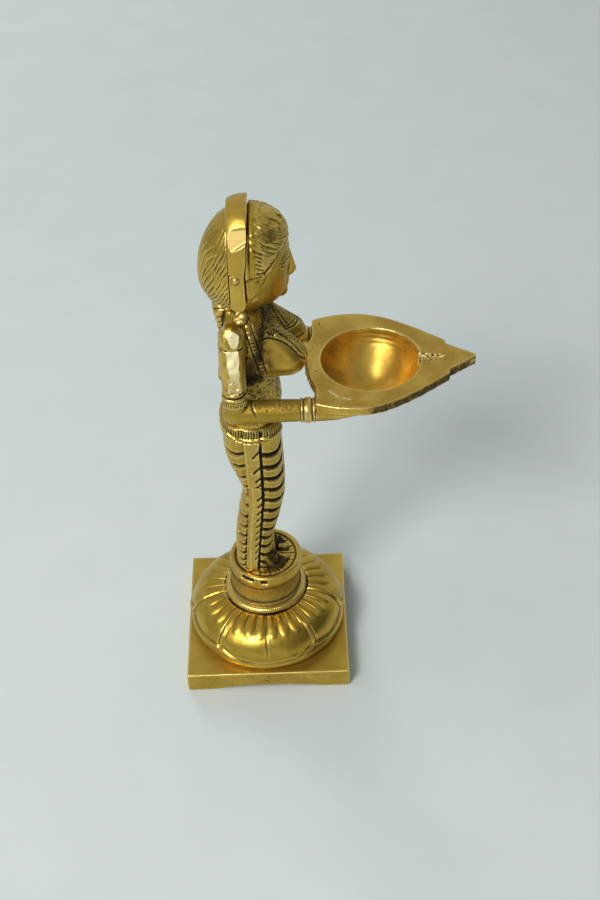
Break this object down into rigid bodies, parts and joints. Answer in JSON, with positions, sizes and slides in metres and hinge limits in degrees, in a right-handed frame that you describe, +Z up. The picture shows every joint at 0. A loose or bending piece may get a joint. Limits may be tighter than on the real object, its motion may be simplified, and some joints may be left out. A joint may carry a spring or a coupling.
{
  "type": "standing figure oil lamp",
  "caption": "Brass oil lamp: a draped figure stands on a lotus dome and square plinth and holds out a leaf-shaped pan with a round oil bowl and a wick spout.",
  "frame": {"origin": "middle of the plinth's underside", "axes": "+X the way the figure faces and holds the lamp out, +Y to the figure's left, +Z up"},
  "size_m": [0.1098, 0.064, 0.2052],
  "materials": {
    "satin_brass": "filed and polished satin",
    "cast_brass": "cast, polished on its high places, brown patina in its grooves",
    "pin_brass": "drawn rod",
    "zinc_steel": "zinc plated"
  },
  "bodies": {
    "lamp": {"plinth": "satin_brass", "lotus_dome": "cast_brass", "beaded_ring": "cast_brass", "neck_collar": "satin_brass", "foot_pad": "cast_brass", "draped_legs": "cast_brass", "torso": "cast_brass", "head": "cast_brass", "hair_arch": "satin_brass", "ear_pendants": "satin_brass", "right_forearm": "satin_brass", "left_forearm": "satin_brass", "right_bangle": "satin_brass", "left_bangle": "satin_brass", "lamp_pan": "satin_brass", "elbow_pins": "pin_brass", "wrist_pins": "pin_brass", "waist_pin": "pin_brass", "neck_pin": "pin_brass", "tie_stud": "zinc_steel"},
    "washer": {"tie_washer": "zinc_steel"},
    "nut": {"tie_nut": "zinc_steel"}
  },
  "joints": [
    {"name": "washer_slide", "type": "slide", "parent": "lamp", "child": "washer", "axis": [0, 0, -1], "range_m": [0, 0.0056]},
    {"name": "nut_turn", "type": "hinge", "parent": "washer", "child": "nut", "pos_m": [0, 0, 0.0162], "axis": [0, 0, -1], "range_deg": [0, 2520]}
  ],
  "couplings": [
    {"joint": "nut_turn", "follows": "washer_slide", "rad_per_m": 7854}
  ]
}
